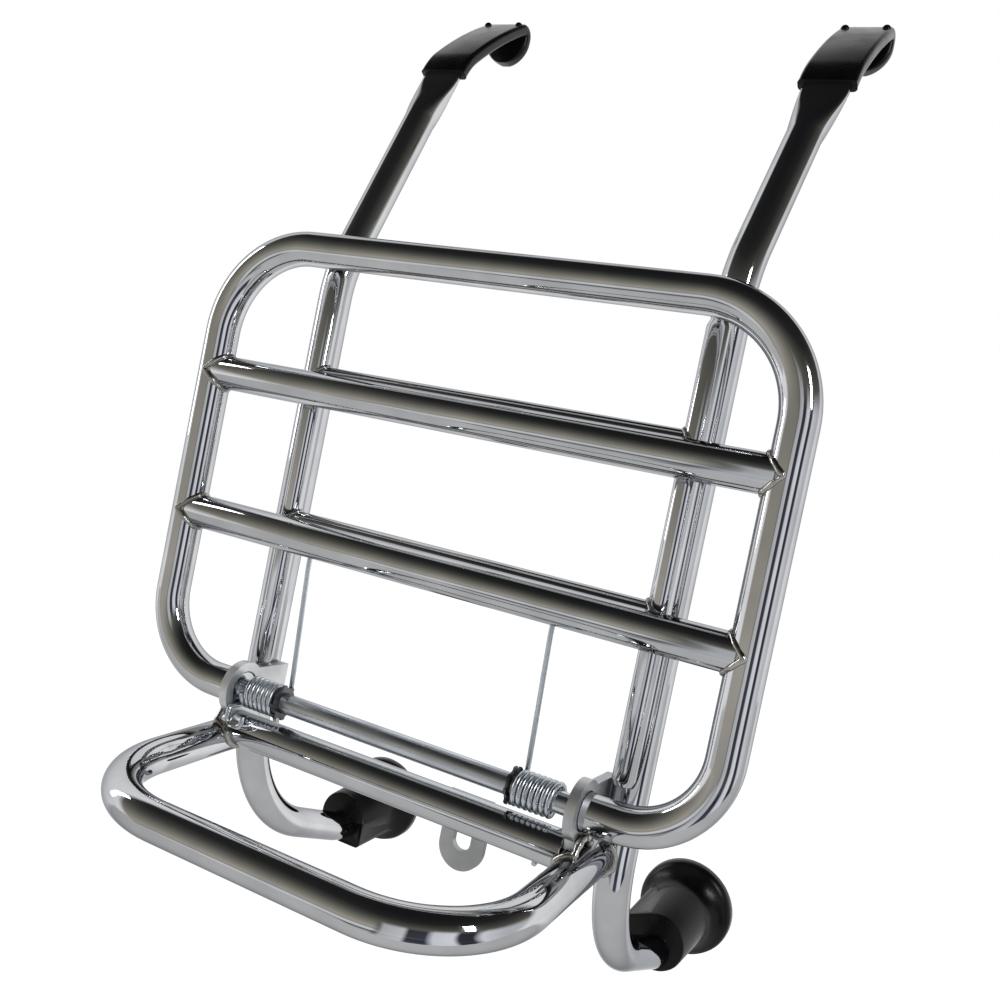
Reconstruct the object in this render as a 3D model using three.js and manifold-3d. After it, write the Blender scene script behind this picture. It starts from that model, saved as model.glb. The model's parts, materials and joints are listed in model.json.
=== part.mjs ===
// Fold-down carrier for the front of a scooter. Two hook tubes hang over the top edge of the
// legshield, a tube grid is hinged at their feet and folds forward onto a fixed U-shaped shelf.
// Millimetres. X to the viewer's right, Y back towards the legshield, Z up along the grid.
// The shapes are drawn from the hinge axis and then moved so the origin is where the hooks hang.
import * as THREE from 'three';
import Module from 'manifold-3d';
import { mergeVertices } from 'three/addons/utils/BufferGeometryUtils.js';

const wasm = await Module();
wasm.setup();

// Driving dimensions
const GAP = 0.3; // clearance kept between pieces that touch
const TUBE_R = 8;
const SIDES_OF_TUBE = 24;
const SEAT = { y: 130, z: 358 }; // where the hooks hang, seen from the hinge axis

const GRID = { halfWidth: 138.5, height: 205.5, topBend: 44, bottomBend: 36, bars: [75, 142.5] };
const HINGE_ROD = { r: 4.6, halfLength: 101, bore: 4.95 };
const LUG = { inner: 85, thickness: 4.2, r: 12.5, hole: 8.3, tailY: 30, topZ: 9.5, footZ: -15.3 };
const HOOK = { x: 97.5, y: 26.9, kneeR: 60, neckZ: 290, neck: 28 };
const BLADE = { width: 22, thickness: 3.2, lead: 6, drop: 9.7 };
const BLADE_BENDS = [{ to: 44, length: 14 }, { to: 32, length: 57 }, { to: -90, length: 10.2 }];
const SLEEVE = { width: 26, wall: 1.3, start: 5, drop: 12.7, nubR: 2.4 };
const SOCKET = { y: 122, r: 30, endY: 148 };
const FOOT = { backY: 173, flangeAt: 9, bossR: 14.5, flangeR: 25, keel: 14.5 };
const MOUTH = { r: 9.3, depth: 7 };
const SPACER = { r: 5, topZ: 195, bottomZ: 9.8 };
const TIE_BARS = { r: 5, heights: [80, 149.5] };
const BASE_BAR = { y: 0, z: -18 };
const SHELF = { halfWidth: 91, frontY: -88, frontZ: -30.4, backY: 22, backZ: -21.6, bend: 46 };
const TAB = { x: 34.5, width: 21, thickness: 3, y: 12, topZ: -14, bottomZ: -46.5 };
const SLOT = { width: 8.4, topZ: -27, bottomZ: -38 };
const SPRING = { r: 6.6, wire: 1.15, pitch: 2.6, legY: 1.5, legTop: 72 };
const RING = { outer: 7, inner: 4.9, thickness: 1.2, tooth: 1.1 };

// The two sides were bent and welded by hand, so they differ by a few millimetres.
const SIDES = [
  {
    tag: 'left', s: -1, kneeZ: 187.8, lean: 24.5, splay: 0, turn: -2, spacerX: 90, spacerY: 15.9,
    coil: [64, 83.6], heelR: 77, heelDrop: 16.2, socketZ: -98, footY: 127, footZ: -93.6, footTilt: 4, keelTurn: -45,
    tail: [[6.6, -6.6], [-10.2, -6.6], [-10.2, -14.6]], tailTip: [-9.4, -9.5], tailBends: [6.6, 2.2, 2.2, 2.2],
  },
  {
    tag: 'right', s: 1, kneeZ: 204.5, lean: 29, splay: 3.5, turn: 0, spacerX: 97.5, spacerY: 13.6,
    coil: [59, 79.6], heelR: 61, heelDrop: 18.2, socketZ: -95, footY: 120, footZ: -89.8, footTilt: 5, keelTurn: 158,
    tail: [[9.7, -8], [9.7, -25]], tailTip: [2, -28.4], tailBends: [6, 2.2, 2.2],
  },
];

const chrome = new THREE.MeshStandardMaterial({ color: 0xc9cbcd, metalness: 1, roughness: 0.08 });
const zinc = new THREE.MeshStandardMaterial({ color: 0xb4bcc2, metalness: 1, roughness: 0.3 });
const darkSteel = new THREE.MeshStandardMaterial({ color: 0x2c2d2f, metalness: 0.8, roughness: 0.4 });
const coating = new THREE.MeshStandardMaterial({ color: 0x1b1b1a, metalness: 0, roughness: 0.22 });
const rubber = new THREE.MeshStandardMaterial({ color: 0x232324, metalness: 0, roughness: 0.55 });

const v3 = (x, y, z) => new THREE.Vector3(x, y, z);
const rad = THREE.MathUtils.degToRad;

// A path that is sampled only where it bends, so a straight run costs one step.
class BentPath extends THREE.Curve {
  constructor(stations) {
    super();
    this.stations = stations;
  }

  at(u) {
    return this.stations[Math.round(u * (this.stations.length - 1))];
  }

  getPointAt(u, target = new THREE.Vector3()) {
    return target.copy(this.at(u).point);
  }

  getTangentAt(u, target = new THREE.Vector3()) {
    return target.copy(this.at(u).tangent);
  }
}

// Straight runs joined by arcs of the given radii, one for each inner corner.
function bends(corners, radii, stepDeg = 9) {
  const stations = [];
  let dir = corners[1].clone().sub(corners[0]).normalize();
  stations.push({ point: corners[0].clone(), tangent: dir.clone() });
  for (let i = 1; i < corners.length - 1; i += 1) {
    const next = corners[i + 1].clone().sub(corners[i]).normalize();
    const r = Array.isArray(radii) ? radii[i - 1] : radii;
    const angle = dir.angleTo(next);
    const inward = next.clone().addScaledVector(dir, -dir.dot(next)).normalize();
    const start = corners[i].clone().addScaledVector(dir, -r * Math.tan(angle / 2));
    const centre = start.clone().addScaledVector(inward, r);
    const count = Math.max(1, Math.ceil(THREE.MathUtils.radToDeg(angle) / stepDeg));
    for (let k = 0; k <= count; k += 1) {
      const a = (angle * k) / count;
      const point = centre.clone();
      point.addScaledVector(inward, -r * Math.cos(a));
      point.addScaledVector(dir, r * Math.sin(a));
      const tangent = dir.clone().multiplyScalar(Math.cos(a)).addScaledVector(inward, Math.sin(a));
      stations.push({ point, tangent });
    }
    dir = next;
  }
  stations.push({ point: corners.at(-1).clone(), tangent: dir.clone() });
  return stations;
}

function roundSection(r, sides) {
  const points = [];
  for (let i = 0; i < sides; i += 1) {
    const a = (2 * Math.PI * (i + 0.5)) / sides;
    points.push(new THREE.Vector2(r * Math.cos(a), r * Math.sin(a)));
  }
  return new THREE.Shape(points);
}

function sweep(stations, r, sides = SIDES_OF_TUBE) {
  const extrudePath = new BentPath(stations);
  const options = { steps: stations.length - 1, bevelEnabled: false, extrudePath };
  return new THREE.ExtrudeGeometry(roundSection(r, sides), options);
}

function straight(from, to, r, sides = SIDES_OF_TUBE) {
  return sweep(bends([from, to], 0), r, sides);
}

function solid(geometry) {
  const bare = geometry.clone();
  bare.deleteAttribute('normal');
  bare.deleteAttribute('uv');
  const welded = mergeVertices(bare, 1e-3);
  const mesh = new wasm.Mesh({
    numProp: 3,
    vertProperties: new Float32Array(welded.attributes.position.array),
    triVerts: new Uint32Array(welded.index.array),
  });
  return new wasm.Manifold(mesh);
}

function surface(body) {
  const mesh = body.getMesh();
  const geometry = new THREE.BufferGeometry();
  geometry.setAttribute('position', new THREE.BufferAttribute(mesh.vertProperties, 3));
  geometry.setIndex(new THREE.BufferAttribute(mesh.triVerts, 1));
  geometry.computeVertexNormals();
  return geometry;
}

function piece(name, body, material) {
  const mesh = new THREE.Mesh(surface(body), material);
  mesh.name = name;
  return mesh;
}

// Extrudes an outline drawn in Y and Z along X, from x to x + thickness.
function plateAlongX(outline, x, thickness, curveSegments = 24) {
  const options = { depth: thickness, bevelEnabled: false, curveSegments };
  const geometry = new THREE.ExtrudeGeometry(outline, options);
  geometry.applyMatrix4(new THREE.Matrix4().makeBasis(v3(0, 1, 0), v3(0, 0, 1), v3(1, 0, 0)));
  geometry.translate(x, 0, 0);
  return geometry;
}

// The round part of a hook tube: up out of the foot, past the knee and on to the pressed neck.
function hookCorners(side) {
  const x = side.s * HOOK.x;
  const lean = rad(side.lean);
  const kneeReach = HOOK.kneeR * Math.tan(lean / 2);
  const knee = v3(x, HOOK.y, side.kneeZ + kneeReach);
  const rise = HOOK.neckZ - knee.z;
  const neck = knee.clone().add(v3(side.s * side.splay, rise * Math.tan(lean), rise));
  const { socketZ } = side;
  const heelZ = socketZ + (SOCKET.y - HOOK.y) * Math.tan(rad(side.heelDrop));
  return [v3(x, SOCKET.endY, socketZ), v3(x, SOCKET.y, socketZ), v3(x, HOOK.y, heelZ), knee, neck];
}

function hookBends(side) {
  return [SOCKET.r, side.heelR, HOOK.kneeR];
}

function neckFrame(side) {
  const [, , , knee, base] = hookCorners(side);
  const along = base.clone().sub(knee).normalize();
  const out = along.clone().cross(v3(1, 0, 0)).normalize();
  return { base, along, out, end: base.clone().addScaledVector(along, HOOK.neck) };
}

// Squeezes the end of the round tube, ring by ring, towards the width and thickness of the blade.
function pressNeck(geometry, side) {
  const { base, along, out } = neckFrame(side);
  const position = geometry.attributes.position;
  const v = v3(0, 0, 0);
  for (let i = 0; i < position.count; i += 1) {
    v.fromBufferAttribute(position, i).sub(base);
    const reach = v.dot(along);
    if (reach > 0 && v.z > 0) {
      const k = THREE.MathUtils.smoothstep(reach, 0, HOOK.neck);
      const wide = THREE.MathUtils.lerp(1, (BLADE.width - 0.4) / (2 * TUBE_R), k);
      const thick = THREE.MathUtils.lerp(1, (BLADE.thickness + 1) / (2 * TUBE_R), k);
      const across = v.x - reach * along.x;
      v.x += across * (wide - 1);
      v.addScaledVector(out, v.dot(out) * (thick - 1));
    }
    v.add(base);
    position.setXYZ(i, v.x, v.y, v.z);
  }
  return geometry;
}

// The blade's path in the Y-Z plane: it rises off the neck, levels out and turns down at the end.
function bladeStations(side, skip, drop) {
  const { end } = neckFrame(side);
  const along = (a) => v3(0, Math.cos(a), Math.sin(a));
  let angle = rad(90 - side.lean);
  const stations = [{ point: end.clone().addScaledVector(along(angle), skip), tangent: along(angle) }];
  const point = end.clone().addScaledVector(along(angle), BLADE.lead);
  stations.push({ point: point.clone(), tangent: along(angle) });
  for (const { to, length } of BLADE_BENDS) {
    const turn = rad(to) - angle;
    const count = Math.max(3, Math.round(Math.abs(THREE.MathUtils.radToDeg(turn)) / 12));
    const chord = (2 * length * Math.sin(turn / count / 2)) / turn;
    for (let k = 1; k <= count; k += 1) {
      point.addScaledVector(along(angle + turn / count / 2), chord);
      angle += turn / count;
      stations.push({ point: point.clone(), tangent: along(angle) });
    }
  }
  stations.push({ point: point.clone().add(v3(0, 0, -drop)), tangent: v3(0, 0, -1) });
  return stations;
}

// A strap section with rounded edges, as wide and thick as given.
function strapSection(width, thickness) {
  const r = thickness * 0.45;
  const w = width / 2;
  const t = thickness / 2;
  const shape = new THREE.Shape();
  shape.moveTo(-w + r, -t);
  shape.lineTo(w - r, -t);
  shape.absarc(w - r, -t + r, r, -Math.PI / 2, 0);
  shape.lineTo(w, t - r);
  shape.absarc(w - r, t - r, r, 0, Math.PI / 2);
  shape.lineTo(-w + r, t);
  shape.absarc(-w + r, t - r, r, Math.PI / 2, Math.PI);
  shape.lineTo(-w, -t + r);
  shape.absarc(-w + r, -t + r, r, Math.PI, 1.5 * Math.PI);
  return shape;
}

function strap(stations, width, thickness) {
  const extrudePath = new BentPath(stations);
  const options = { steps: stations.length - 1, bevelEnabled: false, extrudePath, curveSegments: 2 };
  return solid(new THREE.ExtrudeGeometry(strapSection(width, thickness), options));
}

// Trims the hanging tip of a strap to a half circle.
function roundTip(body, tip, width) {
  const r = width / 2;
  const waste = new THREE.Shape();
  waste.moveTo(-r - 2, -2);
  waste.lineTo(r + 2, -2);
  waste.lineTo(r + 2, r);
  waste.lineTo(r, r);
  waste.absarc(0, r, r, 0, -Math.PI, true);
  waste.lineTo(-r - 2, r);
  const options = { depth: 16, bevelEnabled: false, curveSegments: 18 };
  const cutter = new THREE.ExtrudeGeometry(waste, options);
  cutter.rotateX(Math.PI / 2);
  cutter.translate(tip.x, tip.y + 8, tip.z);
  return body.subtract(solid(cutter));
}

// A hook's flattened end is turned a little about its neck on one side.
function turned(body, side) {
  const { end } = neckFrame(side);
  return body.translate([-end.x, -end.y, 0]).rotate([0, 0, side.turn]).translate([end.x, end.y, 0]);
}

function hookTube(side) {
  const stations = bends(hookCorners(side), hookBends(side));
  const { along, base } = neckFrame(side);
  for (let k = 1; k <= 4; k += 1) {
    const point = base.clone().addScaledVector(along, (HOOK.neck * k) / 4);
    stations.push({ point, tangent: along.clone() });
  }
  const round = solid(pressNeck(sweep(stations, TUBE_R), side));
  const path = bladeStations(side, -4, BLADE.drop);
  const blade = roundTip(strap(path, BLADE.width, BLADE.thickness), path.at(-1).point, BLADE.width);
  return round.add(turned(blade, side));
}

function hookSleeve(side) {
  const skin = 2 * (SLEEVE.wall + GAP);
  const path = bladeStations(side, SLEEVE.start, SLEEVE.drop);
  const tip = path.at(-1).point;
  let body = roundTip(strap(path, SLEEVE.width, BLADE.thickness + skin), tip, SLEEVE.width);
  for (const edge of [-1, 1]) {
    const nub = new THREE.SphereGeometry(SLEEVE.nubR, 12, 8);
    nub.translate(tip.x + edge * (SLEEVE.width / 2 - 3.2), tip.y - 9, tip.z + 16.4);
    body = body.add(solid(nub));
  }
  const inside = bladeStations(side, SLEEVE.start - 5, BLADE.drop + GAP);
  const room = strap(inside, BLADE.width + 2 * GAP, BLADE.thickness + 2 * GAP);
  return turned(body.subtract(roundTip(room, inside.at(-1).point, BLADE.width + 2 * GAP)), side);
}

// A round rod welded up the front of the hook tube, domed at the top.
function spacer(side) {
  const x = side.s * side.spacerX;
  const rod = solid(straight(v3(x, side.spacerY, SPACER.bottomZ), v3(x, side.spacerY, SPACER.topZ), SPACER.r, 16));
  const dome = new THREE.SphereGeometry(SPACER.r, 16, 10);
  dome.translate(x, side.spacerY, SPACER.topZ);
  return rod.add(solid(dome));
}

function spacerRoom(side) {
  const x = side.s * side.spacerX;
  const from = v3(x, side.spacerY, SPACER.bottomZ);
  return solid(straight(from, v3(x, side.spacerY, SPACER.topZ), SPACER.r + GAP, 16));
}

function hookRoom(side) {
  const corners = hookCorners(side);
  corners[0].y += GAP;
  return solid(sweep(bends(corners, hookBends(side)), TUBE_R + GAP));
}

function tieBar(height) {
  const [left, right] = SIDES;
  const from = v3(-left.spacerX, left.spacerY, height);
  const to = v3(right.spacerX, right.spacerY, height);
  let bar = solid(straight(from, to, TIE_BARS.r, 16));
  for (const side of SIDES) bar = bar.subtract(spacerRoom(side)).subtract(hookRoom(side));
  return bar.decompose().sort((a, b) => b.volume() - a.volume())[0];
}

function shelfCorners() {
  const { halfWidth, frontY, frontZ, backY, backZ } = SHELF;
  return [
    v3(-halfWidth, backY, backZ),
    v3(-halfWidth, frontY, frontZ),
    v3(halfWidth, frontY, frontZ),
    v3(halfWidth, backY, backZ),
  ];
}

function shelf() {
  let body = solid(sweep(bends(shelfCorners(), SHELF.bend), TUBE_R));
  for (const side of SIDES) body = body.subtract(hookRoom(side));
  return body.decompose().sort((a, b) => b.volume() - a.volume())[0];
}

function baseBar() {
  const { y, z } = BASE_BAR;
  const end = LUG.inner - GAP;
  return solid(straight(v3(-end, y, z), v3(end, y, z), TUBE_R)).subtract(shelfRoom());
}

// The plate that carries one end of the grid: a ring round the tube, a tail back to the uprights
// and a foot on the shelf arm.
function lug(side) {
  const { inner, thickness, r, hole, tailY, topZ, footZ } = LUG;
  const lift = Math.asin(topZ / r);
  const outline = new THREE.Shape();
  outline.moveTo(tailY, topZ);
  outline.lineTo(r * Math.cos(lift), topZ);
  outline.absarc(0, 0, r, lift, Math.PI * 1.35);
  outline.lineTo(-5, footZ);
  outline.lineTo(12, footZ);
  outline.lineTo(tailY, -2);
  const eye = new THREE.Path();
  eye.absarc(0, 0, hole, 0, 2 * Math.PI, true);
  outline.holes.push(eye);
  const x = side.s > 0 ? inner : -inner - thickness;
  const plate = solid(plateAlongX(outline, x, thickness, 36));
  return plate.subtract(hookRoom(side)).subtract(shelfRoom());
}

function shelfRoom() {
  return solid(sweep(bends(shelfCorners(), SHELF.bend), TUBE_R + GAP));
}

// The drilled tab under the base bar, with a slot and a rounded end.
function tab() {
  const { x, width, thickness, y, topZ, bottomZ } = TAB;
  const r = width / 2;
  const outline = new THREE.Shape();
  outline.moveTo(-r, topZ);
  outline.lineTo(-r, bottomZ + r);
  outline.absarc(0, bottomZ + r, r, Math.PI, 2 * Math.PI);
  outline.lineTo(r, topZ);
  const s = SLOT.width / 2;
  const slot = new THREE.Path();
  slot.moveTo(-s, SLOT.topZ);
  slot.lineTo(-s, SLOT.bottomZ + s);
  slot.absarc(0, SLOT.bottomZ + s, s, Math.PI, 2 * Math.PI);
  slot.lineTo(s, SLOT.topZ);
  outline.holes.push(slot);
  const options = { depth: thickness, bevelEnabled: false, curveSegments: 16 };
  const geometry = new THREE.ExtrudeGeometry(outline, options);
  geometry.rotateX(Math.PI / 2);
  geometry.translate(x, y + thickness / 2, 0);
  const { y: barY, z: barZ } = BASE_BAR;
  const bar = straight(v3(x - 20, barY, barZ), v3(x + 20, barY, barZ), TUBE_R + GAP);
  return solid(geometry).subtract(solid(bar));
}

// A rubber buffer: a boss with a keel along it, a mouth for the tube and a wide pad at the back.
function foot(side) {
  const { bossR, flangeR, keel } = FOOT;
  const length = FOOT.backY - side.footY;
  const flangeAt = length - FOOT.flangeAt;
  const profile = [
    [0, 0], [bossR - 1.5, 0], [bossR - 0.4, 0.4], [bossR, 1.5], [bossR + 1.5, flangeAt - 10],
    [bossR + 3.5, flangeAt - 4], [flangeR - 3, flangeAt + 0.5], [flangeR - 0.7, flangeAt + 3],
    [flangeR, flangeAt + 5], [flangeR, length - 2], [flangeR - 0.7, length - 0.6], [flangeR - 2, length],
    [0, length],
  ];
  const boss = new THREE.LatheGeometry(profile.map(([r, y]) => new THREE.Vector2(r, y)), 40);
  const corner = new THREE.Shape();
  const round = 3;
  corner.moveTo(0, 0);
  corner.lineTo(keel, 0);
  corner.lineTo(keel, keel - round);
  corner.absarc(keel - round, keel - round, round, 0, Math.PI / 2);
  corner.lineTo(0, keel);
  const options = { depth: flangeAt, bevelEnabled: false, curveSegments: 6 };
  const block = new THREE.ExtrudeGeometry(corner, options);
  block.rotateZ(rad(side.keelTurn - 45));
  block.rotateX(Math.PI / 2);
  block.translate(0, flangeAt, 0);
  const body = solid(boss).add(solid(block));
  const placed = body.rotate([side.footTilt, 0, 0]).translate([side.s * HOOK.x, side.footY, side.footZ]);
  const mouth = new THREE.CylinderGeometry(MOUTH.r, MOUTH.r, MOUTH.depth + 5, 32);
  mouth.translate(side.s * HOOK.x, side.footY + MOUTH.depth / 2 - 2.5, side.socketZ);
  return placed.subtract(solid(mouth)).subtract(hookRoom(side));
}

function gridCorners() {
  const { halfWidth, height } = GRID;
  const end = LUG.inner + 0.2;
  return [
    v3(-end, 0, 0),
    v3(-halfWidth, 0, 0),
    v3(-halfWidth, 0, height),
    v3(halfWidth, 0, height),
    v3(halfWidth, 0, 0),
    v3(end, 0, 0),
  ];
}

function gridFrame() {
  const { topBend, bottomBend } = GRID;
  let body = solid(sweep(bends(gridCorners(), [bottomBend, topBend, topBend, bottomBend]), TUBE_R));
  for (const { s } of SIDES) {
    const deep = v3(s * (HINGE_ROD.halfLength + GAP), 0, 0);
    body = body.subtract(solid(straight(v3(s * LUG.inner, 0, 0), deep, HINGE_ROD.bore)));
  }
  return body;
}

function gridBar(height) {
  const { halfWidth } = GRID;
  let body = solid(straight(v3(-halfWidth, 0, height), v3(halfWidth, 0, height), TUBE_R));
  for (const { s } of SIDES) {
    const x = s * halfWidth;
    body = body.subtract(solid(straight(v3(x, 0, 0), v3(x, 0, GRID.height), TUBE_R + GAP)));
  }
  body = body.decompose().sort((a, b) => b.volume() - a.volume())[0];
  if (height === GRID.bars[0]) {
    for (const side of SIDES) {
      const x = side.s * legX(side);
      const low = v3(x, SPRING.legY, height - TUBE_R - 2);
      const hole = straight(low, v3(x, SPRING.legY, SPRING.legTop + 1), SPRING.wire + GAP, 12);
      body = body.subtract(solid(hole));
    }
  }
  return body;
}

function hingeRod() {
  const { halfLength, r } = HINGE_ROD;
  return solid(straight(v3(-halfLength, 0, 0), v3(halfLength, 0, 0), r));
}

function legX(side) {
  return side.coil[0];
}

// A torsion spring round the hinge rod. The coil ends at its back and runs up as a long leg.
function spring(side) {
  const near = side.coil[0];
  const far = side.coil[1] - SPRING.pitch;
  const turns = Math.round((4 * (far - near)) / SPRING.pitch) / 4;
  const perTurn = 18;
  const count = Math.round(turns * perTurn);
  const drift = (far - near) / (turns * 2 * Math.PI * SPRING.r);
  const stations = [];
  for (let i = 0; i <= count; i += 1) {
    const a = (2 * Math.PI * (i - count)) / perTurn;
    const x = side.s * (far - ((far - near) * i) / count);
    const point = v3(x, SPRING.r * Math.cos(a), SPRING.r * Math.sin(a));
    const tangent = v3(-side.s * drift, -Math.sin(a), Math.cos(a)).normalize();
    stations.push({ point, tangent });
  }
  const x = side.s * near;
  const { legY, legTop, r } = SPRING;
  const rise = [v3(x, r, 0), v3(x, r, 7), v3(x, legY, legTop - 9), v3(x, legY, legTop)];
  return solid(sweep(stations.concat(bends(rise, [14, 14], 15).slice(1)), SPRING.wire, 10));
}

// The spring's short leg: down from the coil and hooked round the base bar, in front or behind it.
function springAnchor(side) {
  const x = side.s * side.coil[1];
  const inX = x - side.s * 8;
  const down = [[SPRING.r, 1], ...side.tail].map(([y, z]) => v3(x, y, z));
  const hook = [side.tail.at(-1), side.tailTip].map(([y, z]) => v3(inX, y, z));
  return solid(sweep(bends([...down, ...hook], side.tailBends, 20), SPRING.wire, 10));
}

// A push-on retaining ring with small teeth round its edge.
function retainer(side) {
  const { outer, inner, thickness, tooth } = RING;
  const outline = new THREE.Shape();
  const teeth = 8;
  for (let i = 0; i < teeth; i += 1) {
    const a = (2 * Math.PI * i) / teeth;
    outline.absarc(0, 0, outer + tooth, a, a + 0.28);
    outline.absarc(0, 0, outer, a + 0.34, a + (2 * Math.PI) / teeth - 0.06);
  }
  const eye = new THREE.Path();
  eye.absarc(0, 0, inner, 0, 2 * Math.PI, true);
  outline.holes.push(eye);
  const edge = side.coil[0] - SPRING.wire - GAP;
  const x = side.s > 0 ? edge - thickness : -edge;
  return solid(plateAlongX(outline, x, thickness, 6));
}

const carrier = new THREE.Group();
carrier.position.set(0, -SEAT.y, -SEAT.z);

for (const side of SIDES) {
  carrier.add(piece(`hook_tube_${side.tag}`, hookTube(side), chrome));
  carrier.add(piece(`hook_sleeve_${side.tag}`, hookSleeve(side), coating));
  carrier.add(piece(`spacer_rod_${side.tag}`, spacer(side), chrome));
  carrier.add(piece(`hinge_lug_${side.tag}`, lug(side), chrome));
  carrier.add(piece(`rubber_foot_${side.tag}`, foot(side), rubber));
  carrier.add(piece(`spring_${side.tag}`, spring(side), zinc));
  carrier.add(piece(`spring_anchor_${side.tag}`, springAnchor(side), zinc));
  carrier.add(piece(`retaining_ring_${side.tag}`, retainer(side), darkSteel));
}
carrier.add(piece('tie_bar_lower', tieBar(TIE_BARS.heights[0]), chrome));
carrier.add(piece('tie_bar_upper', tieBar(TIE_BARS.heights[1]), chrome));
carrier.add(piece('base_bar', baseBar(), chrome));
carrier.add(piece('mounting_tab', tab(), chrome));
carrier.add(piece('shelf_tube', shelf(), chrome));
carrier.add(piece('grid_frame', gridFrame(), chrome));
carrier.add(piece('grid_bar_lower', gridBar(GRID.bars[0]), chrome));
carrier.add(piece('grid_bar_upper', gridBar(GRID.bars[1]), chrome));
carrier.add(piece('hinge_rod', hingeRod(), zinc));

export default carrier;
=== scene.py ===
# A chromed fold-down carrier that hangs on a scooter's legshield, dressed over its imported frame.
# Shapes are modelled in millimetres from the hinge axis (X to the viewer's right, Y back, Z up
# along the upright grid) and then moved into the frame.
import json
import math

import bpy
from mathutils import Matrix, Vector


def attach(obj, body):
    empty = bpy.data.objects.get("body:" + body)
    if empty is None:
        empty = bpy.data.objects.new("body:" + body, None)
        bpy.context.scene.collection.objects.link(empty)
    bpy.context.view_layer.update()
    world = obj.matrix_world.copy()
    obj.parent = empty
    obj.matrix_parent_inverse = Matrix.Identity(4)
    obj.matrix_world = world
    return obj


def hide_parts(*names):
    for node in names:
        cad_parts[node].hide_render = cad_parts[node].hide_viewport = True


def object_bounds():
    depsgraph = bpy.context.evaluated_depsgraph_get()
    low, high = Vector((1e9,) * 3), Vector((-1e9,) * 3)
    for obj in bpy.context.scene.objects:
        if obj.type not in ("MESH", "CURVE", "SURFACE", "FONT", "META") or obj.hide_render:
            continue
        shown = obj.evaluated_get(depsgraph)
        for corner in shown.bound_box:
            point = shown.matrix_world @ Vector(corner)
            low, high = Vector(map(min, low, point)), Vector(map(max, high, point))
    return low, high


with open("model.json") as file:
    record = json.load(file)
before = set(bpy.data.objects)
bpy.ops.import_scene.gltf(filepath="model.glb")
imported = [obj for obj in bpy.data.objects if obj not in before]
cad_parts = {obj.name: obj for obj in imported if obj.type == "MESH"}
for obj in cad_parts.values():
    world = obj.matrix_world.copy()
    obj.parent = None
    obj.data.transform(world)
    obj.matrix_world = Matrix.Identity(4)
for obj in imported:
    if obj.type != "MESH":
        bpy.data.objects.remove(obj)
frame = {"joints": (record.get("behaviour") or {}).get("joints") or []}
CAD_BOX = [list(corner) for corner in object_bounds()]

MM = 0.001
HINGE = Vector(frame["joints"][0]["pos_m"])

TUBE_R = 7.93  # a hair inside the faceted frame
SLIM = 0.05  # how far the thin rods stay inside it
ROUND = 48  # sides of a tube
STEP = math.radians(4)  # turn of a bend between two rings

GRID = {"half": 138.5, "height": 205.5, "top_bend": 44.0, "low_bend": 36.0, "bars": (75.0, 142.5)}
HOOK = {"x": 97.5, "y": 26.9, "knee_r": 60.0, "neck_z": 290.0, "neck": 28.0}
BLADE = {"width": 22.0, "thick": 3.2, "lead": 6.0}
BLADE_BENDS = ((44.0, 14.0), (32.0, 57.0), (-90.0, 7.2))
SLEEVE = {"width": 26.0, "thick": 5.9, "start": 5.0, "drop": 14.4}
NUB = {"r": 2.2, "inset": 3.2, "forward": 9.0, "rise": 17.8, "cover": 2.25}
SOCKET = {"y": 122.0, "r": 30.0, "end": 148.0}
FOOT = {"back": 173.0, "flange": 9.0, "boss_r": 14.5, "flange_r": 25.0, "keel": 14.5}
SPACER = {"r": 5.0, "low": 9.8, "top": 195.0}
TIE_BARS = {"r": 5.0, "heights": (80.0, 149.5)}
BASE_BAR = {"y": 0.0, "z": -18.0, "half": 84.7}
SHELF = {"half": 91.0, "front": (-88.0, -30.4), "back": (22.0, -21.6), "bend": 46.0}
LUG_INNER = 85.0
HINGE_ROD = {"r": 4.6, "half": 101.0}
SPRING = {"r": 6.6, "wire": 1.15, "pitch": 2.6, "leg_y": 1.5, "leg_top": 72.0}

SIDES = (
    {
        "tag": "left", "s": -1, "knee": 187.8, "lean": 24.5, "splay": 0.0, "turn": 0.0,
        "spacer": (90.0, 15.9), "coil": (64.0, 83.6), "heel_r": 77.0, "heel_drop": 16.2,
        "socket_z": -98.0, "foot": (127.0, -93.6), "tilt": 4.0, "keel_turn": -45.0,
        "tail": ((6.6, -6.6), (-10.2, -6.6), (-10.2, -14.6)), "tail_tip": (-9.4, -9.5),
        "tail_bends": (6.6, 2.2, 2.2, 2.2),
    },
    {
        "tag": "right", "s": 1, "knee": 204.5, "lean": 29.0, "splay": 3.5, "turn": 0.0,
        "spacer": (97.5, 13.6), "coil": (59.0, 79.6), "heel_r": 61.0, "heel_drop": 18.2,
        "socket_z": -95.0, "foot": (120.0, -89.8), "tilt": 5.0, "keel_turn": 158.0,
        "tail": ((9.7, -8.0), (9.7, -25.0)), "tail_tip": (2.0, -28.4), "tail_bends": (6.0, 2.2, 2.2),
    },
)


# ---------------------------------------------------------------- camera, floor and light

CAMERA_AT = Vector((221.93, -393.78, 129.18))
CAMERA_AZIMUTH = 26.53
CAMERA_DOWN = 2.28
CAMERA_ROLL = 11.51
CAMERA_LENS = 38.31
FLOOR_BACK = 2.2  # metres behind the rack
FLOOR_DROP = 0.55  # metres below its feet

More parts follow.
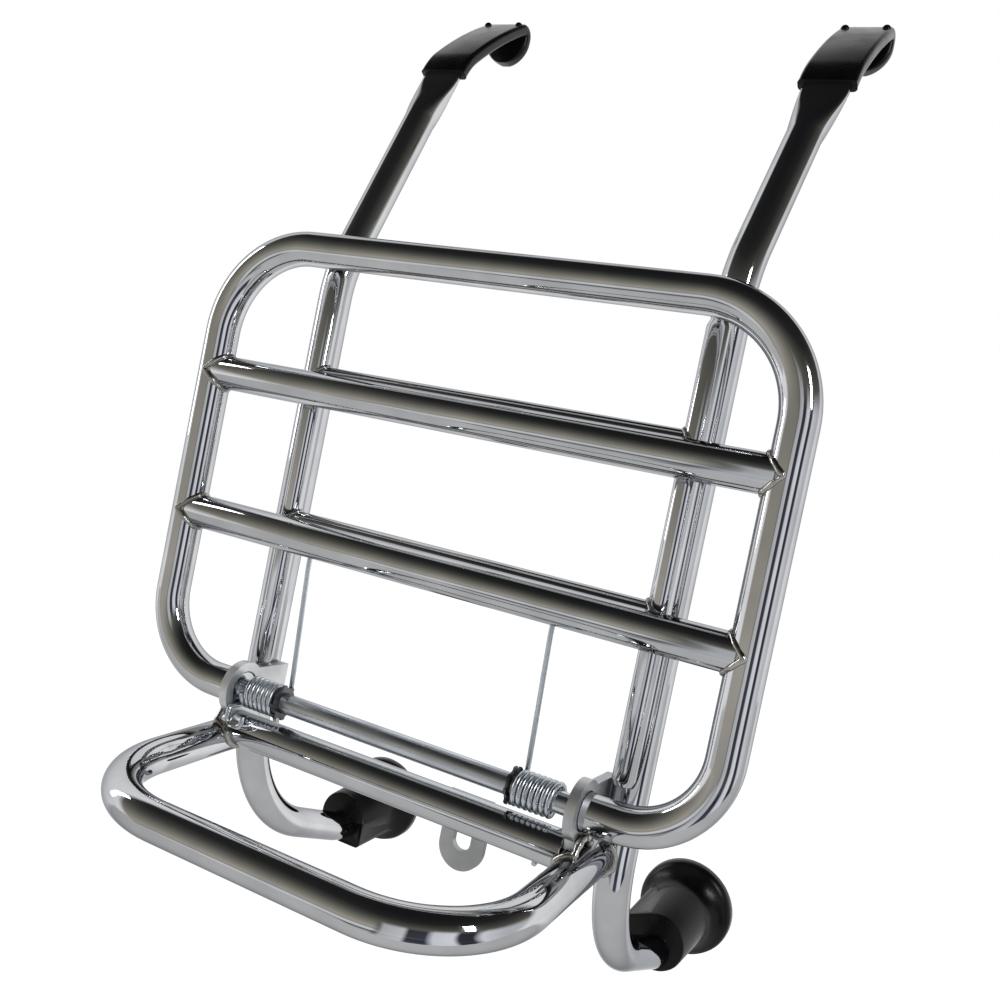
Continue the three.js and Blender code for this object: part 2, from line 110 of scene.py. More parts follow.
# Studio tones from the floor (0) up to the zenith (1), and from the left (0) to the right (1).
ROOM_TONES = (
    (0.0, (0.52, 0.53, 0.55)), (0.13, (0.62, 0.63, 0.65)), (0.20, (0.50, 0.51, 0.53)),
    (0.225, (0.15, 0.15, 0.155)), (0.25, (0.15, 0.15, 0.155)), (0.275, (0.70, 0.71, 0.73)),
    (0.33, (0.80, 0.81, 0.82)), (0.36, (0.36, 0.345, 0.31)), (0.42, (0.46, 0.435, 0.385)),
    (0.50, (0.33, 0.315, 0.27)), (0.58, (0.245, 0.235, 0.195)), (0.67, (0.150, 0.145, 0.122)),
    (0.77, (0.072, 0.070, 0.063)), (0.88, (0.024, 0.024, 0.024)), (1.0, (0.012, 0.012, 0.013)),
)
PANEL_TONES = (
    (0.0, (0.10, 0.10, 0.11)), (0.31, (0.05, 0.05, 0.06)), (0.34, (0.55, 0.56, 0.59)),
    (0.46, (0.72, 0.73, 0.76)), (0.49, (0.025, 0.027, 0.035)), (0.60, (0.03, 0.036, 0.06)),
    (0.645, (0.80, 0.82, 0.88)), (0.76, (0.95, 0.96, 1.0)), (0.79, (0.03, 0.03, 0.05)),
    (0.86, (0.03, 0.03, 0.04)), (0.90, (0.85, 0.86, 0.90)), (1.0, (0.60, 0.61, 0.65)),
)
PANEL_SHARE = (
    (0.0, (0.0, 0.0, 0.0)), (0.28, (0.0, 0.0, 0.0)), (0.33, (0.9, 0.9, 0.9)), (1.0, (1.0, 1.0, 1.0)),
)
PANEL_HEIGHT = (
    (0.0, (1.0, 1.0, 1.0)), (0.60, (1.0, 1.0, 1.0)), (0.70, (0.0, 0.0, 0.0)), (1.0, (0.0, 0.0, 0.0)),
)
BACKDROP_TONES = (
    (0.0, (0.30, 0.31, 0.33)), (0.28, (0.55, 0.56, 0.58)), (0.42, (1.0, 1.0, 1.0)),
    (0.85, (1.0, 1.0, 1.0)), (1.0, (0.35, 0.36, 0.38)),
)


def camera():
    data = bpy.data.cameras.new("camera")
    data.lens = CAMERA_LENS
    data.sensor_width = 36
    data.clip_start = 0.01
    obj = bpy.data.objects.new("camera", data)
    bpy.context.scene.collection.objects.link(obj)
    a = math.radians(CAMERA_AZIMUTH)
    e = math.radians(CAMERA_DOWN)
    ahead = Vector((-math.sin(a) * math.cos(e), math.cos(a) * math.cos(e), -math.sin(e)))
    right = Vector((math.cos(a), math.sin(a), 0))
    up = right.cross(ahead)
    r = math.radians(CAMERA_ROLL)
    across = right * math.cos(r) + up * math.sin(r)
    upward = up * math.cos(r) - right * math.sin(r)
    turn = Matrix((across, upward, -ahead)).transposed().to_4x4()
    obj.matrix_world = Matrix.Translation(HINGE + CAMERA_AT * MM) @ turn
    bpy.context.scene.camera = obj


def floor():
    bpy.ops.mesh.primitive_plane_add(size=1)
    obj = bpy.context.object
    obj.name = "floor"
    a = math.radians(CAMERA_AZIMUTH)
    obj.scale = (8, 6, 1)
    obj.rotation_euler = (0, 0, a)
    obj.location = (-FLOOR_BACK * math.sin(a), FLOOR_BACK * math.cos(a), CAD_BOX[0][2] - FLOOR_DROP)
    mat = bpy.data.materials.new("floor_painted_glow")
    mat.use_nodes = True
    shader = mat.node_tree.nodes["Principled BSDF"]
    shader.inputs["Base Color"].default_value = (0.2, 0.2, 0.2, 1)
    shader.inputs["Roughness"].default_value = 1.0
    nodes = mat.node_tree.nodes
    links = mat.node_tree.links
    coord = nodes.new("ShaderNodeTexCoord")
    axes = nodes.new("ShaderNodeSeparateXYZ")
    links.new(coord.outputs["Object"], axes.inputs[0])
    # Painted light: the floor glows instead of being lit, at half strength in front of and under the rack
    # and at full strength further back; the dimmer near part is painted shade.
    painted_glow_strength = remap(nodes, links, axes.outputs["Y"], -0.30, -0.25, 0.50, 1.0)
    shader.inputs["Emission Color"].default_value = (1, 1, 1, 1)
    links.new(painted_glow_strength, shader.inputs["Emission Strength"])
    obj.data.materials.append(mat)


def softbox(name, place, aim, size, power, colour=(1, 1, 1)):
    data = bpy.data.lights.new(name, "AREA")
    data.shape = "RECTANGLE"
    data.size = size[0]
    data.size_y = size[1]
    data.energy = power
    data.color = colour
    obj = bpy.data.objects.new(name, data)
    obj.location = place
    obj.rotation_euler = (Vector(aim) - Vector(place)).to_track_quat("-Z", "Y").to_euler()
    bpy.context.scene.collection.objects.link(obj)


def tones(nodes, links, source, stops):
    """A colour ramp from a list of (place, colour) stops."""
    ramp = nodes.new("ShaderNodeValToRGB")
    stops = [(place, (*colour, 1)) for place, colour in stops]
    elements = ramp.color_ramp.elements
    elements[0].position, elements[0].color = stops[0]
    elements[1].position, elements[1].color = stops[-1]
    for place, colour in stops[1:-1]:
        elements.new(place).color = colour
    links.new(source, ramp.inputs[0])
    return ramp.outputs[0]


def blend_colours(nodes, links, share, first, second):
    mix = nodes.new("ShaderNodeMix")
    mix.data_type = "RGBA"
    links.new(share, mix.inputs[0])
    links.new(first, mix.inputs[6])
    links.new(second, mix.inputs[7])
    return mix.outputs[2]


def remap(nodes, links, source, low, high, to_low=0.0, to_high=1.0):
    span = nodes.new("ShaderNodeMapRange")
    span.inputs["From Min"].default_value = low
    span.inputs["From Max"].default_value = high
    span.inputs["To Min"].default_value = to_low
    span.inputs["To Max"].default_value = to_high
    links.new(source, span.inputs["Value"])
    return span.outputs[0]


def along_axis(nodes, links, coord, axis):
    dot = nodes.new("ShaderNodeVectorMath")
    dot.operation = "DOT_PRODUCT"
    dot.inputs[1].default_value = axis
    links.new(coord.outputs["Generated"], dot.inputs[0])
    return dot.outputs["Value"]


def surroundings():
    """White backdrop behind, a dim warm room in front with pale panels at its sides, pale below."""
    world = bpy.data.worlds.new("studio")
    bpy.context.scene.world = world
    world.use_nodes = True
    tree = world.node_tree
    nodes = tree.nodes
    links = tree.links
    background = nodes["Background"]
    coord = nodes.new("ShaderNodeTexCoord")
    a = math.radians(CAMERA_AZIMUTH)
    height = remap(nodes, links, along_axis(nodes, links, coord, (0, 0, 1)), -1, 1)
    right = (math.cos(a), math.sin(a), 0)
    across = remap(nodes, links, along_axis(nodes, links, coord, right), -1, 1)
    room = tones(nodes, links, height, ROOM_TONES)
    panels = tones(nodes, links, across, PANEL_TONES)
    low = nodes.new("ShaderNodeMath")
    low.operation = "MULTIPLY"
    links.new(tones(nodes, links, across, PANEL_SHARE), low.inputs[0])
    links.new(tones(nodes, links, height, PANEL_HEIGHT), low.inputs[1])
    inside = blend_colours(nodes, links, low.outputs[0], room, panels)
    backdrop = tones(nodes, links, height, BACKDROP_TONES)
    behind = along_axis(nodes, links, coord, (-math.sin(a), math.cos(a), -0.62))
    share = remap(nodes, links, behind, -0.10, 0.06)
    links.new(blend_colours(nodes, links, share, inside, backdrop), background.inputs["Color"])
    background.inputs["Strength"].default_value = 1.0
    softbox("left_box", (-1.3, -0.35, 0.1), (0, 0, -0.2), (0.14, 0.8), 3)
    softbox("right_box", (1.0, -0.5, 0.25), (0.1, 0, -0.4), (0.14, 0.4), 4, (0.95, 0.97, 1))


# ---------------------------------------------------------------- modelling helpers


def deselect_objects():
    for obj in bpy.context.selected_objects:
        obj.select_set(False)


def start_ring(name, centre, along, r, sides=ROUND):
    """An open ring of the tube's size, in edit mode with all of it selected."""
    deselect_objects()
    turn = Vector(along).to_track_quat("Z", "Y").to_euler()
    bpy.ops.mesh.primitive_circle_add(vertices=sides, radius=r, location=centre, rotation=turn)
    obj = bpy.context.object
    obj.name = name
    bpy.ops.object.transform_apply(location=True, rotation=True, scale=True)
    bpy.ops.object.mode_set(mode="EDIT")
    bpy.ops.mesh.select_mode(type="EDGE")
    bpy.ops.mesh.select_all(action="SELECT")
    return obj


def run(step):
    bpy.ops.mesh.extrude_region_move(TRANSFORM_OT_translate={"value": tuple(step)})


def bend(centre, axis, angle, steps=None):
    count = steps or max(2, math.ceil(abs(angle) / STEP))
    bpy.ops.mesh.spin(steps=count, angle=-angle, center=tuple(centre), axis=tuple(axis))


def close_ends():
    bpy.ops.mesh.select_all(action="SELECT")
    bpy.ops.mesh.remove_doubles(threshold=0.001)
    bpy.ops.mesh.select_all(action="DESELECT")
    bpy.ops.mesh.select_non_manifold()
    bpy.ops.mesh.fill_holes(sides=0)
    bpy.ops.mesh.select_all(action="SELECT")
    bpy.ops.mesh.normals_make_consistent(inside=False)
    bpy.ops.object.mode_set(mode="OBJECT")


def finish(obj, angle=40, edge=0.0, segments=3):
    """Rounds the sharp edges, smooths the faces and moves the piece into the frame."""
    deselect_objects()
    obj.select_set(True)
    bpy.context.view_layer.objects.active = obj
    if edge:
        bevel = obj.modifiers.new("edges", "BEVEL")
        bevel.width = edge
        bevel.segments = segments
        bevel.limit_method = "ANGLE"
        bevel.angle_limit = math.radians(angle)
        bpy.ops.object.modifier_apply(modifier=bevel.name)
    bpy.ops.object.shade_smooth_by_angle(angle=math.radians(angle))
    obj.scale = (MM, MM, MM)
    obj.location = HINGE
    bpy.ops.object.transform_apply(location=True, rotation=True, scale=True)
    return obj


def join(obj, other):
    deselect_objects()
    other.select_set(True)
    obj.select_set(True)
    bpy.context.view_layer.objects.active = obj
    bpy.ops.object.join()


def tube(name, corners, radii, r=TUBE_R, edge=0.6, sides=ROUND, open_end=None):
    """A tube bent in arcs of the given radii at the inner corners of its path."""
    points = [Vector(c) for c in corners]
    here = points[0]
    ahead = (points[1] - points[0]).normalized()
    obj = start_ring(name, here, ahead, r, sides)
    for corner, after, radius in zip(points[1:-1], points[2:], radii):
        onward = (after - corner).normalized()
        angle = ahead.angle(onward)
        start = corner - ahead * radius * math.tan(angle / 2)
        if (start - here).length > 0.01:
            run(start - here)
        axis = ahead.cross(onward).normalized()
        centre = start + axis.cross(ahead) * radius
        bend(centre, axis, angle)
        here = corner + onward * radius * math.tan(angle / 2)
        ahead = onward
    run(points[-1] - here)
    if open_end:
        bpy.ops.object.mode_set(mode="OBJECT")
        join(obj, open_end)
        bpy.ops.object.mode_set(mode="EDIT")
        bpy.ops.mesh.select_all(action="SELECT")
        bpy.ops.mesh.remove_doubles(threshold=0.45)
    close_ends()
    return finish(obj, edge=edge, segments=2)


def dress(obj, body, slot, material, *nodes):
    obj.data.materials.clear()
    obj.data.materials.append(material)
    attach(obj, body)
    if nodes:
        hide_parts(*nodes)


camera()
floor()
surroundings()
bpy.context.scene.view_settings.view_transform = "Standard"


# ---------------------------------------------------------------- finishes


def blank(name):
    mat = bpy.data.materials.new(name)
    mat.use_nodes = True
    tree = mat.node_tree
    return mat, tree.nodes, tree.links, tree.nodes["Principled BSDF"]


def noise(nodes, links, coord, scale, detail=3.0):
    tex = nodes.new("ShaderNodeTexNoise")
    tex.inputs["Scale"].default_value = scale
    tex.inputs["Detail"].default_value = detail
    links.new(coord.outputs["Object"], tex.inputs["Vector"])
    return tex


def spread(nodes, links, source, low, high):
    """Stretches the middle of a noise over the range from low to high."""
    return remap(nodes, links, source, 0.35, 0.65, low, high)


def shades(nodes, links, source, first, second):
    mix = nodes.new("ShaderNodeMix")
    mix.data_type = "RGBA"
    mix.inputs[6].default_value = (*first, 1)
    mix.inputs[7].default_value = (*second, 1)
    links.new(source, mix.inputs[0])
    return mix.outputs[2]


def relief(nodes, links, shader, source, strength, distance):
    bump = nodes.new("ShaderNodeBump")
    bump.inputs["Strength"].default_value = strength
    bump.inputs["Distance"].default_value = distance
    links.new(source, bump.inputs["Height"])
    links.new(bump.outputs[0], shader.inputs["Normal"])


def plated(name, first, second, rough, wave, wave_scale=70.0):
    """Plated metal: faint haze in its gloss and a slow unevenness from bending and polishing."""
    mat, nodes, links, shader = blank(name)
    coord = nodes.new("ShaderNodeTexCoord")
    haze = noise(nodes, links, coord, 45)
    ripple = noise(nodes, links, coord, wave_scale, 1.5)
    tone = spread(nodes, links, haze.outputs["Fac"], 0, 1)
    links.new(shades(nodes, links, tone, first, second), shader.inputs["Base Color"])
    links.new(spread(nodes, links, haze.outputs["Fac"], rough[0], rough[1]), shader.inputs["Roughness"])
    relief(nodes, links, shader, ripple.outputs["Fac"], wave, 0.001)
    shader.inputs["Metallic"].default_value = 1.0
    shader.inputs["Specular Tint"].default_value = (0.42, 0.43, 0.45, 1)
    return mat


def moulded(name, first, second, rough, grain_scale, grain, gloss):
    """Black rubber or vinyl: uneven sheen and a fine grain."""
    mat, nodes, links, shader = blank(name)
    coord = nodes.new("ShaderNodeTexCoord")
    patch = noise(nodes, links, coord, 60)
    fine = noise(nodes, links, coord, grain_scale, 4)
    tone = spread(nodes, links, patch.outputs["Fac"], 0, 1)
    links.new(shades(nodes, links, tone, first, second), shader.inputs["Base Color"])
    links.new(spread(nodes, links, patch.outputs["Fac"], rough[0], rough[1]), shader.inputs["Roughness"])
    relief(nodes, links, shader, fine.outputs["Fac"], grain, 0.0004)
    shader.inputs["Specular IOR Level"].default_value = gloss
    return mat


chrome = plated("bright_chrome", (0.66, 0.67, 0.68), (0.58, 0.59, 0.605), (0.03, 0.075), 0.03)
weld_chrome = plated("chrome_over_weld", (0.56, 0.545, 0.52), (0.38, 0.355, 0.32), (0.18, 0.34), 0.3, 420.0)
plate_chrome = plated("chromed_plate", (0.82, 0.83, 0.84), (0.70, 0.71, 0.72), (0.42, 0.55), 0.05)
zinc = plated("bright_zinc", (0.74, 0.78, 0.82), (0.58, 0.62, 0.66), (0.22, 0.36), 0.05)
dull_chrome = plated("chromed_tab", (0.52, 0.53, 0.54), (0.42, 0.43, 0.44), (0.30, 0.42), 0.08)
dark_steel = plated("dark_steel", (0.10, 0.10, 0.105), (0.20, 0.20, 0.21), (0.25, 0.4), 0.1)
vinyl = moulded(
    "dipped_vinyl", (0.003, 0.003, 0.003), (0.006, 0.006, 0.0055), (0.20, 0.30), 300, 0.05, 0.2,
)
rubber = moulded(
    "moulded_rubber", (0.004, 0.004, 0.0045), (0.009, 0.009, 0.0095), (0.24, 0.34), 900, 0.12, 0.19,
)


# ---------------------------------------------------------------- the pieces


def hook_path(side):
    x = side["s"] * HOOK["x"]
    lean = math.radians(side["lean"])
    z = side["socket_z"]
    heel_z = z + (SOCKET["y"] - HOOK["y"]) * math.tan(math.radians(side["heel_drop"]))
    knee = Vector((x, HOOK["y"], side["knee"] + HOOK["knee_r"] * math.tan(lean / 2)))
    rise = HOOK["neck_z"] - knee.z
    neck = knee + Vector((side["s"] * side["splay"], rise * math.tan(lean), rise))
    low = [Vector((x, SOCKET["end"], z)), Vector((x, SOCKET["y"], z)), Vector((x, HOOK["y"], heel_z))]
    return [*low, knee, neck]


def neck_frame(side):
    """Start of the pressed neck, its direction, and the turn that stands it on that start."""
    knee, base = hook_path(side)[3:]
    along = (base - knee).normalized()
    across = (Vector((1, 0, 0)) - along * along.x).normalized()
    turn = Matrix((across, along.cross(across), along)).transposed().to_4x4()
    return base, along, Matrix.Translation(base) @ turn


def straight(name, start, end, r=TUBE_R, edge=0.5):
    return tube(name, [start, end], [], r, edge)


def grid():
    half = GRID["half"]
    top = GRID["height"]
    end = LUG_INNER + 0.2
    path = [(-end, 0, 0), (-half, 0, 0), (-half, 0, top), (half, 0, top), (half, 0, 0), (end, 0, 0)]
    radii = [GRID["low_bend"], GRID["top_bend"], GRID["top_bend"], GRID["low_bend"]]
    dress(tube("grid_tube", path, radii), "grid", "chrome", chrome, "grid_frame")
    for tag, z in zip(("lower", "upper"), GRID["bars"]):
        bar = straight(f"grid_cross_tube_{tag}", (-half + 3, 0, z), (half - 3, 0, z))
        dress(bar, "grid", "chrome", chrome, f"grid_bar_{tag}")
    rod = straight("hinge_pin", (-HINGE_ROD["half"], 0, 0), (HINGE_ROD["half"], 0, 0), HINGE_ROD["r"], 0.8)
    dress(rod, "grid", "zinc", zinc, "hinge_rod")


def pressed_neck(side):
    """The tube's end squeezed flat, ring by ring, on its way into the coated strap."""
    stand = neck_frame(side)[2]
    obj = start_ring("neck", (0, 0, 0), (0, 0, 1), TUBE_R)
    rings = 18
    for _ in range(rings):
        run((0, 0, HOOK["neck"] / rings))
    run((0, 0, BLADE["lead"] + 1))
    bpy.ops.object.mode_set(mode="OBJECT")
    for vertex in obj.data.vertices:
        share = min(1.0, vertex.co.z / HOOK["neck"])
        ease = share * (0.55 + 0.45 * share * (3 - 2 * share))
        half_width = TUBE_R + ease * (BLADE["width"] / 2 - 0.3 - TUBE_R)
        half_thick = TUBE_R + ease * (BLADE["thick"] / 2 + 0.4 - TUBE_R)
        power = 1 / (1 + 1.5 * share)
        turn = math.atan2(vertex.co.y, vertex.co.x)
        vertex.co.x = math.copysign(half_width * abs(math.cos(turn)) ** power, math.cos(turn))
        vertex.co.y = math.copysign(half_thick * abs(math.sin(turn)) ** power, math.sin(turn))
    obj.matrix_world = stand
    deselect_objects()
    obj.select_set(True)
    bpy.ops.object.transform_apply(location=True, rotation=True, scale=True)
    return obj


def uprights():
    for side in SIDES:
        path = hook_path(side)
        neck = pressed_neck(side)
        radii = [SOCKET["r"], side["heel_r"], HOOK["knee_r"]]
        obj = tube(f"upright_{side['tag']}", path, radii, open_end=neck)
        dress(obj, "rack", "chrome", chrome, f"hook_tube_{side['tag']}")


def sleeve(side):
    base, along, _ = neck_frame(side)
    end = base + along * HOOK["neck"]
    angle = 90 - side["lean"]
    ahead = Vector((0, math.cos(math.radians(angle)), math.sin(math.radians(angle))))
    here = end + ahead * SLEEVE["start"]
    deselect_objects()
    bpy.ops.mesh.primitive_plane_add(size=1, location=here, rotation=(math.radians(angle - 90), 0, 0))
    obj = bpy.context.object
    obj.name = f"strap_sleeve_{side['tag']}"
    obj.scale = (SLEEVE["width"] + 0.5, SLEEVE["thick"] + 0.5, 1)
    bpy.ops.object.transform_apply(location=True, rotation=True, scale=True)
    bpy.ops.object.mode_set(mode="EDIT")
    bpy.ops.mesh.select_mode(type="VERT")
    bpy.ops.mesh.select_all(action="SELECT")
    bpy.ops.mesh.bevel(offset=2.2, segments=6, affect="VERTICES")
    bpy.ops.mesh.select_mode(type="EDGE")
    bpy.ops.mesh.select_all(action="SELECT")
    bpy.ops.mesh.delete(type="ONLY_FACE")
    bpy.ops.mesh.select_all(action="SELECT")
    step = ahead * (BLADE["lead"] - SLEEVE["start"])
    run(step)
    here = here + step
    trim = 1 - 0.5 / SLEEVE["width"]
    bpy.ops.transform.resize(value=(trim, trim, trim), center_override=tuple(here))
    axis = Vector((-1, 0, 0))
    for to, length in BLADE_BENDS:
        turn = math.radians(angle - to)
        centre = here + axis.cross(ahead) * (length / turn)
        bend(centre, axis, turn, 14)
        swing = Matrix.Rotation(turn, 3, axis)
        here = centre + swing @ (here - centre)
        ahead = swing @ ahead
        angle = to
    width = 1.0
    rings = 12
    for k in range(1, rings + 1):
        depth = SLEEVE["drop"] * math.sin(math.pi / 2 * k / rings)
        step = ahead * (depth - SLEEVE["drop"] * math.sin(math.pi / 2 * (k - 1) / rings))
        run(step)
        here = here + step
        narrow = math.sqrt(max(0.02, 1 - (2 * max(0, depth - 1.6) / SLEEVE["width"]) ** 2))
        bpy.ops.transform.resize(value=(narrow / width, 1, 1), center_override=tuple(here))
        width = narrow
    close_ends()
    tip = here
    top = (CAD_BOX[1][2] - HINGE.z) / MM
    for edge in (-1, 1):
        x = tip.x + edge * (SLEEVE["width"] / 2 - NUB["inset"])
        at = (x, tip.y - NUB["forward"], min(tip.z + NUB["rise"], top - NUB["cover"]))
        deselect_objects()
        bpy.ops.mesh.primitive_uv_sphere_add(segments=20, ring_count=12, radius=NUB["r"], location=at)
        nub = bpy.context.object
        bpy.ops.object.transform_apply(location=True, rotation=True, scale=True)
        join(obj, nub)
    turn = Matrix.Rotation(math.radians(side["turn"]), 4, "Z")
    obj.matrix_world = Matrix.Translation(end) @ turn @ Matrix.Translation(-end)
    deselect_objects()
    obj.select_set(True)
    bpy.context.view_layer.objects.active = obj
    bpy.ops.object.transform_apply(location=True, rotation=True, scale=True)
    dress(finish(obj, edge=0.7, angle=35), "rack", "coating", vinyl, f"hook_sleeve_{side['tag']}")


def rods():
    for side in SIDES:
        x, y = side["spacer"]
        low = (side["s"] * x, y, SPACER["low"])
        top = (side["s"] * x, y, SPACER["top"] + SPACER["r"] - 0.4)
        rod = straight(f"stand_off_rod_{side['tag']}", low, top, SPACER["r"] - SLIM, 3.6)
        dress(rod, "rack", "chrome", chrome, f"spacer_rod_{side['tag']}")
    left, right = SIDES
    for tag, z in zip(("lower", "upper"), TIE_BARS["heights"]):
        start = (-left["spacer"][0], left["spacer"][1], z)
        end = (right["spacer"][0], right["spacer"][1], z)
        bar = straight(f"cross_rod_{tag}", start, end, TIE_BARS["r"] - SLIM)
        dress(bar, "rack", "chrome", chrome, f"tie_bar_{tag}")


def shelf_corners():
    half = SHELF["half"]
    return [
        (-half, *SHELF["back"]), (-half, *SHELF["front"]), (half, *SHELF["front"]), (half, *SHELF["back"]),
    ]


def shelf():
    loop = tube("shelf_loop", shelf_corners(), [SHELF["bend"]] * 2)
    dress(loop, "rack", "chrome", chrome, "shelf_tube")
    y = BASE_BAR["y"]
    z = BASE_BAR["z"]
    bar = straight("base_tube", (-BASE_BAR["half"], y, z), (BASE_BAR["half"], y, z))
    dress(bar, "rack", "chrome", chrome, "base_bar")


def foot(side):
    length = FOOT["back"] - side["foot"][0]
    flange = length - FOOT["flange"]
    boss = FOOT["boss_r"]
    pad = FOOT["flange_r"] - 0.2
    profile = (
        (boss - 1.5, 0), (boss - 0.4, 0.4), (boss, 1.5), (boss + 1.5, flange - 10),
        (boss + 2.2, flange - 6.5), (boss + 3.5, flange - 4), (boss + 5.6, flange - 1.8),
        (pad - 2.4, flange + 0.4), (pad - 0.8, flange + 1.2),
        (pad, flange + 4), (pad, length - 1.6), (pad - 0.5, length - 0.6), (pad - 1.6, length - 0.1),
    )
    obj = start_ring(f"buffer_{side['tag']}", (0, 0, 0), (0, 1, 0), profile[0][0], 72)
    for (r, y), (next_r, next_y) in zip(profile, profile[1:]):
        run((0, next_y - y, 0))
        k = next_r / r
        bpy.ops.transform.resize(value=(k, 1, k), center_override=(0, next_y, 0))
    close_ends()
    deselect_objects()
    keel = FOOT["keel"]
    bpy.ops.mesh.primitive_cube_add(size=1, location=(keel / 2, flange / 2, keel / 2))
    block = bpy.context.object
    block.scale = (keel, flange, keel)
    bpy.ops.object.transform_apply(location=True, rotation=True, scale=True)
    bpy.ops.object.mode_set(mode="EDIT")
    bpy.ops.mesh.select_mode(type="EDGE")
    bpy.ops.mesh.select_all(action="DESELECT")
    bpy.ops.object.mode_set(mode="OBJECT")
    for line in block.data.edges:
        ends = [block.data.vertices[i].co for i in line.vertices]
        line.select = all(p.x > keel / 2 and p.z > keel / 2 for p in ends)
    bpy.ops.object.mode_set(mode="EDIT")
    bpy.ops.mesh.bevel(offset=3, segments=6, affect="EDGES")
    bpy.ops.object.mode_set(mode="OBJECT")
    block.rotation_euler = (0, -math.radians(side["keel_turn"] - 45), 0)
    bpy.ops.object.transform_apply(location=True, rotation=True, scale=True)
    deselect_objects()
    obj.select_set(True)
    bpy.context.view_layer.objects.active = obj
    union = obj.modifiers.new("keel", "BOOLEAN")
    union.operation = "UNION"
    union.solver = "EXACT"
    union.object = block
    bpy.ops.object.modifier_apply(modifier=union.name)
    bpy.data.objects.remove(block)
    obj.rotation_euler = (math.radians(side["tilt"]), 0, 0)
    obj.location = (side["s"] * HOOK["x"], *side["foot"])
    bpy.ops.object.transform_apply(location=True, rotation=True, scale=True)
    dress(finish(obj, edge=0.5, angle=50), "rack", "rubber", rubber, f"rubber_foot_{side['tag']}")


def spring(side):
    near = side["coil"][0]
    far = side["coil"][1] - SPRING["pitch"]
    turns = round(4 * (far - near) / SPRING["pitch"]) / 4
    x = side["s"] * near
    r = SPRING["r"]
    wire = SPRING["wire"]
    obj = start_ring(f"torsion_spring_{side['tag']}", (x, r, 0), (0, 0, 1), wire, 14)
    bpy.ops.object.mode_set(mode="OBJECT")
    coil = obj.modifiers.new("coil", "SCREW")
    coil.axis = "X"
    coil.angle = -2 * math.pi * turns
    coil.screw_offset = side["s"] * (far - near)
    coil.steps = round(turns * 32)
    coil.render_steps = coil.steps
    coil.use_merge_vertices = False
    bpy.ops.object.modifier_apply(modifier=coil.name)
    bpy.ops.object.mode_set(mode="EDIT")
    close_ends()
    finish(obj, angle=50)
    y = SPRING["leg_y"]
    top = SPRING["leg_top"]
    rise = [(x, r, 0), (x, r, 7), (x, y, top - 9), (x, y, top)]
    leg = tube("leg", rise, [14, 14], wire, 0.3, 14)
    join(obj, leg)
    dress(obj, "grid", "zinc", zinc, f"spring_{side['tag']}")
    x = side["s"] * side["coil"][1]
    inner = x - side["s"] * 8
    tail = [(x, r, 1), *((x, *spot) for spot in side["tail"])]
    tail += [(inner, *side["tail"][-1]), (inner, *side["tail_tip"])]
    anchor = tube(f"spring_tail_{side['tag']}", tail, side["tail_bends"], wire, 0.3, 14)
    dress(anchor, "rack", "zinc", zinc, f"spring_anchor_{side['tag']}")


def bead(name, stub, along, stub_r, other, across, other_r, body, size=1.5, seed=0.0):
    """An uneven weld bead along the line where a tube's end meets the side of another."""
    stub = Vector(stub)
    along = Vector(along).normalized()
    other = Vector(other)
    across = Vector(across).normalized()
    u = along.orthogonal().normalized()
    v = along.cross(u)
    path = []
    count = 96
    for i in range(count):
        a = 2 * math.pi * i / count
        p = stub + (u * math.cos(a) + v * math.sin(a)) * stub_r
        w = p - other
        w = w - across * w.dot(across)
        d = along - across * along.dot(across)
        half = w.dot(d)
        room = max(0.0, half * half - d.dot(d) * (w.dot(w) - other_r * other_r))
        path.append(p + along * (-half - math.sqrt(room)) / d.dot(d))
    verts = []
    faces = []
    around = 12
    for i, p in enumerate(path):
        ahead = (path[(i + 1) % count] - path[i - 1]).normalized()
        out = (p - stub - along * (p - stub).dot(along)).normalized()
        side_way = ahead.cross(out).normalized()
        out = side_way.cross(ahead)
        a = 2 * math.pi * i / count
        swell = size * (1 + 0.10 * math.sin(11 * a + seed) + 0.12 * math.sin(5 * a + 2 * seed))
        for k in range(around):
            b = 2 * math.pi * k / around
            verts.append(p + (out * math.cos(b) + side_way * math.sin(b)) * swell)
            j = i * around
            n = ((i + 1) % count) * around
            faces.append((j + k, j + (k + 1) % around, n + (k + 1) % around, n + k))
    mesh = bpy.data.meshes.new(name)
    mesh.from_pydata(verts, [], faces)
    obj = bpy.data.objects.new(name, mesh)
    bpy.context.scene.collection.objects.link(obj)
    deselect_objects()
    obj.select_set(True)
    bpy.context.view_layer.objects.active = obj
    bpy.ops.object.mode_set(mode="EDIT")
    bpy.ops.mesh.select_all(action="SELECT")
    bpy.ops.mesh.normals_make_consistent(inside=False)
    bpy.ops.object.mode_set(mode="OBJECT")
    dress(finish(obj, angle=60), body, "chrome", weld_chrome)


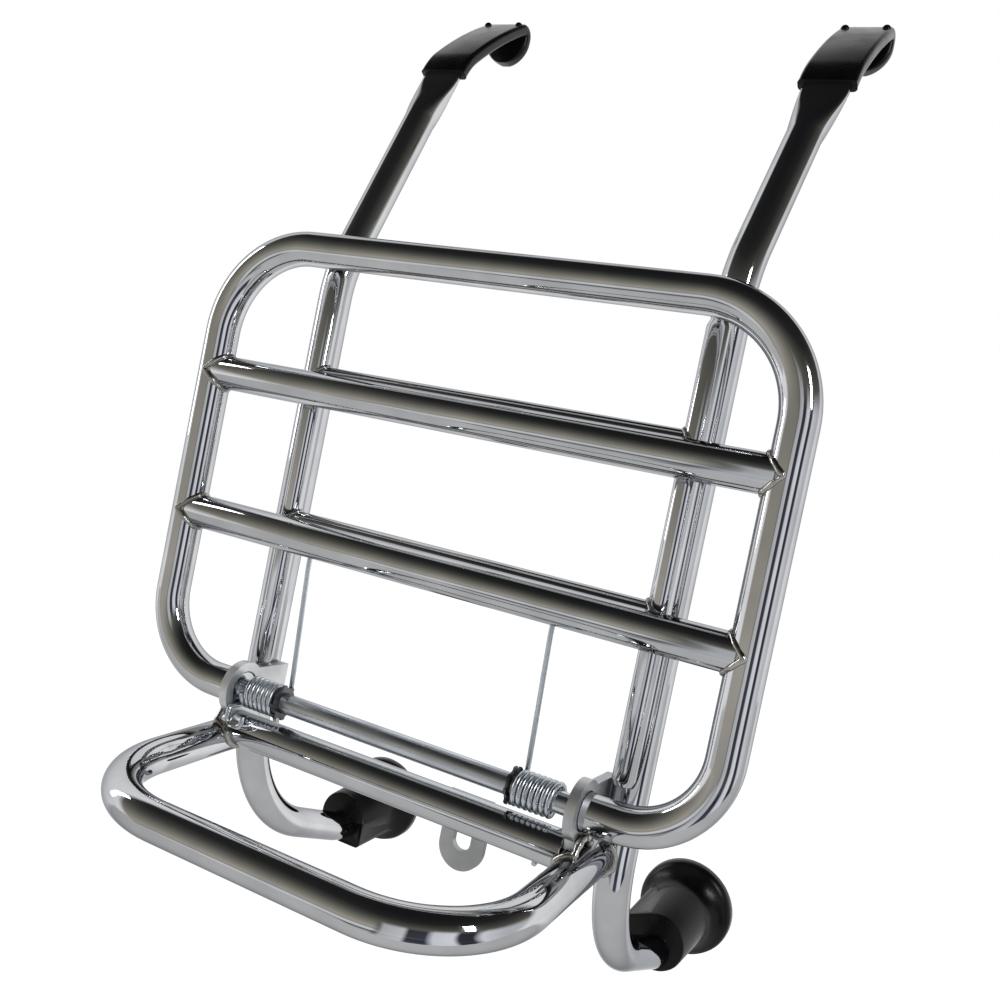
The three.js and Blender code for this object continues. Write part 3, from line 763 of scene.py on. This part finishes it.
def welds():
    x = Vector((1, 0, 0))
    up = Vector((0, 0, 1))
    for n, z in enumerate(GRID["bars"]):
        for s in (-1, 1):
            name = f"grid_weld_{n + 1}_{'left' if s < 0 else 'right'}"
            bead(name, (0, 0, z), x * s, TUBE_R, (s * GRID["half"], 0, 0), up, TUBE_R, "grid", 1.25, n + s)
    front = Vector((0, *SHELF["front"]))
    back = Vector((0, *SHELF["back"]))
    rise = (back - front).normalized()
    for side in SIDES:
        s = side["s"]
        tag = side["tag"]
        arm = Vector((s * SHELF["half"], *SHELF["front"]))
        post = Vector((s * HOOK["x"], HOOK["y"], 0))
        bead(f"shelf_weld_{tag}", arm, rise, TUBE_R, post, up, TUBE_R, "rack", 1.5, s)
        bar = Vector((0, BASE_BAR["y"], BASE_BAR["z"]))
        bead(f"base_weld_{tag}", bar, x * s, TUBE_R, arm, rise, TUBE_R, "rack", 1.6, 3 + s)
        rod = Vector((s * side["spacer"][0], side["spacer"][1], 0))
        for n, z in enumerate(TIE_BARS["heights"]):
            middle = Vector((0, side["spacer"][1], z))
            name = f"cross_rod_weld_{n + 1}_{tag}"
            bead(name, middle, x * s, TIE_BARS["r"], rod, up, SPACER["r"], "rack", 1.1, 5 + n)


def carried_over():
    """Plates and push-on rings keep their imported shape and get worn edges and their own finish."""
    plates = {"hinge_lug_left": 0.45, "hinge_lug_right": 0.45, "mounting_tab": 0.4}
    rings = {"retaining_ring_left": 0.15, "retaining_ring_right": 0.15}
    finishes = {name: plate_chrome for name in plates} | {name: dark_steel for name in rings}
    finishes["mounting_tab"] = dull_chrome
    for name, edge in (*plates.items(), *rings.items()):
        obj = bpy.data.objects[name]
        obj.data.materials.clear()
        obj.data.materials.append(finishes[name])
        bevel = obj.modifiers.new("worn_edges", "BEVEL")
        bevel.width = edge * MM
        bevel.segments = 3
        bevel.limit_method = "ANGLE"
        bevel.angle_limit = math.radians(40)


grid()
uprights()
shelf()
rods()
for hanger in SIDES:
    sleeve(hanger)
    foot(hanger)
    spring(hanger)
welds()
carried_over()
